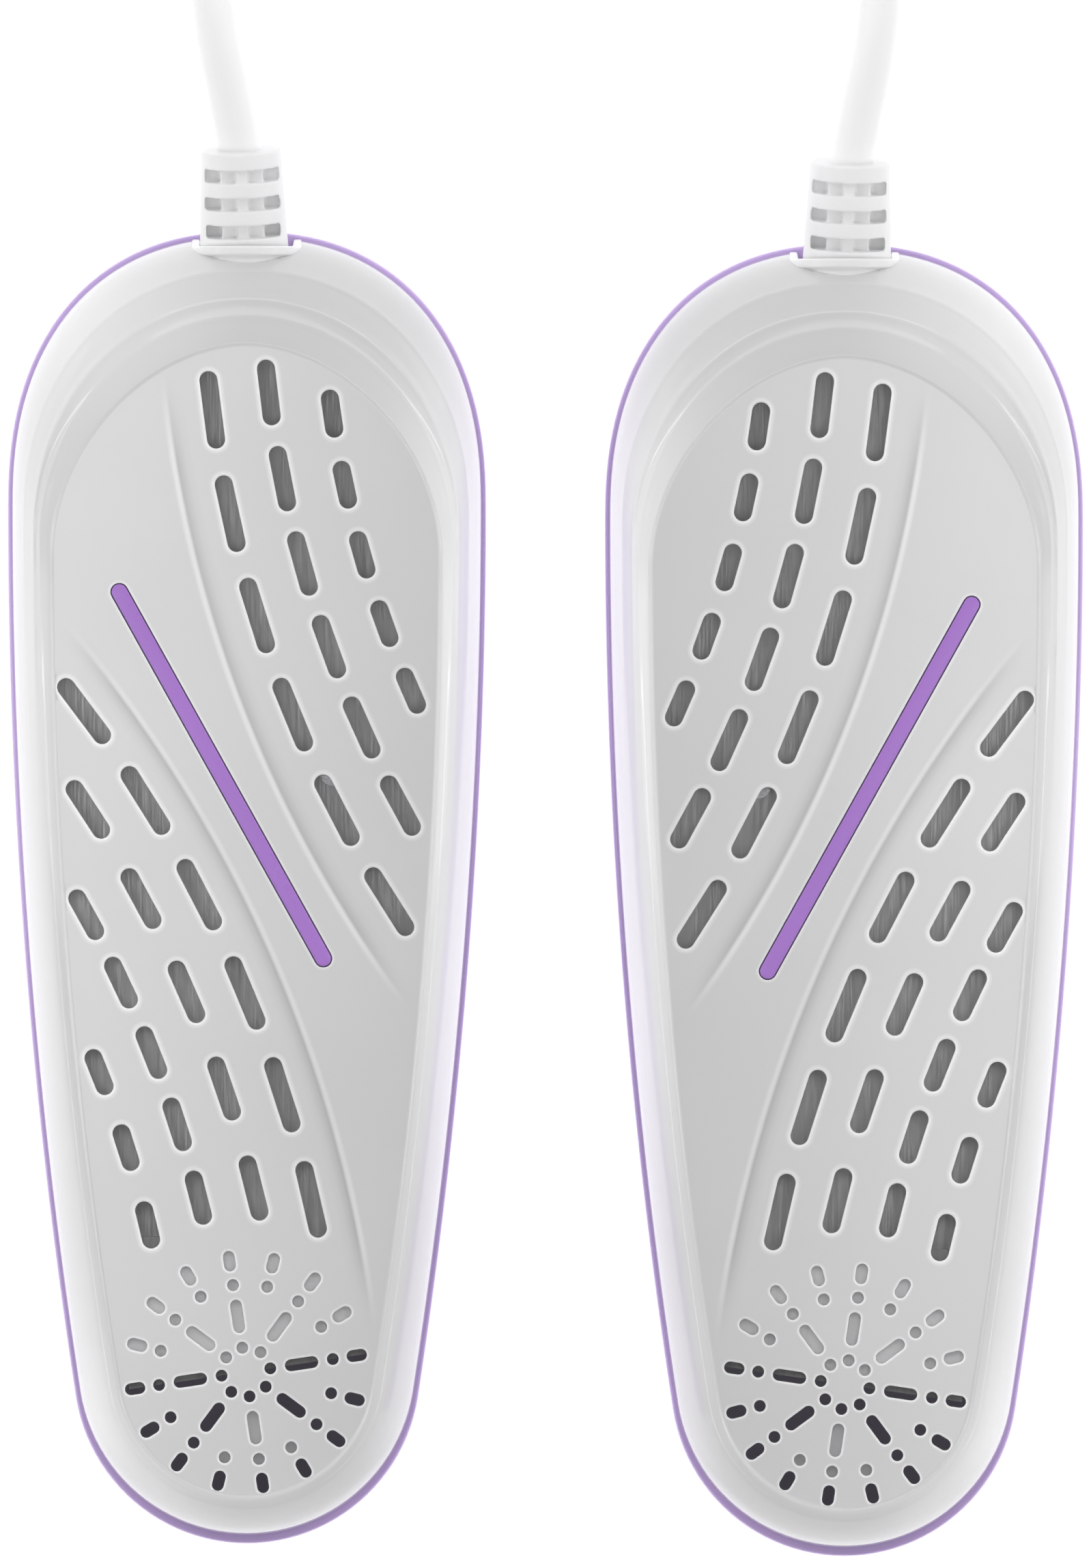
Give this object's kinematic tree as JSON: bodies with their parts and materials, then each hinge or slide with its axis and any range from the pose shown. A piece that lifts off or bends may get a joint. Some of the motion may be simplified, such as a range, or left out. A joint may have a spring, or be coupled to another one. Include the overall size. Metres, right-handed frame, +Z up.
{
  "type": "boot dryer",
  "caption": "Pair of shoe-shaped electric boot dryers: a white vented shell on a violet base, a ribbed strain relief at each heel, leads to one flat plug.",
  "frame": {"origin": "on the plane that both units rest on, midway between them across and along", "axes": "+Y along the units from toe to heel, towards the leads; +Z up; +X to the right seen from above with the heels away from the viewer"},
  "size_m": [0.1458, 0.364, 0.031],
  "materials": {
    "white_shell": "white, glossy border round a satin top panel",
    "violet_shell": "violet, glossy, darker in the shade of the toe",
    "violet_accent": "violet, satin",
    "white_flex": "soft white moulding, satin",
    "lead_sheath": "white cable sheath, satin",
    "plug_moulding": "white, fine satin grain",
    "plug_brass": "nickel-plated, bright",
    "pin_insulation": "dark insulating sleeve",
    "tie_wrap": "white paper-covered tie",
    "spreader_sheet": "mill finish, lightly brushed",
    "heating_ceramic": "grey ceramic",
    "contact_brass": "plain",
    "insulating_film": "amber film",
    "spring_steel": "plain sheet",
    "plain_steel": "zinc-plated",
    "fuse_case": "plain can",
    "brown_core": "brown core insulation",
    "blue_core": "blue core insulation",
    "clamp_plastic": "plain white"
  },
  "bodies": {
    "root": {"accent_strip_left": "violet_accent", "accent_strip_right": "violet_accent", "case_screws_left": "plain_steel", "case_screws_right": "plain_steel", "clamp_screws_left": "plain_steel", "clamp_screws_right": "plain_steel", "clip_rivets_left": "plain_steel", "clip_rivets_right": "plain_steel", "coil_tie_left": "tie_wrap", "coil_tie_right": "tie_wrap", "contact_plates_left": "contact_brass", "contact_plates_right": "contact_brass", "fused_core_left": "brown_core", "fused_core_right": "brown_core", "heat_spreader_left": "spreader_sheet", "heat_spreader_right": "spreader_sheet", "heater_clip_left": "spring_steel", "heater_clip_right": "spring_steel", "heating_stones_left": "heating_ceramic", "heating_stones_right": "heating_ceramic", "inner_lead_left": "lead_sheath", "inner_lead_right": "lead_sheath", "insulating_sleeve_left": "insulating_film", "insulating_sleeve_right": "insulating_film", "lead_clamp_left": "clamp_plastic", "lead_clamp_right": "clamp_plastic", "lead_coil_left": "lead_sheath", "lead_coil_right": "lead_sheath", "lead_left": "lead_sheath", "lead_right": "lead_sheath", "lead_tail_left": "lead_sheath", "lead_tail_right": "lead_sheath", "live_core_left": "brown_core", "live_core_right": "brown_core", "lower_shell_left": "violet_shell", "lower_shell_right": "violet_shell", "neutral_core_left": "blue_core", "neutral_core_right": "blue_core", "pin_sleeves": "pin_insulation", "plate_screws_left": "plain_steel", "plate_screws_right": "plain_steel", "plug_body": "plug_moulding", "plug_pins": "plug_brass", "strain_relief_left": "white_flex", "strain_relief_right": "white_flex", "thermal_fuse_left": "fuse_case", "thermal_fuse_right": "fuse_case", "upper_shell_left": "white_shell", "upper_shell_right": "white_shell", "wire_crimps_left": "contact_brass", "wire_crimps_right": "contact_brass"}
  },
  "joints": []
}
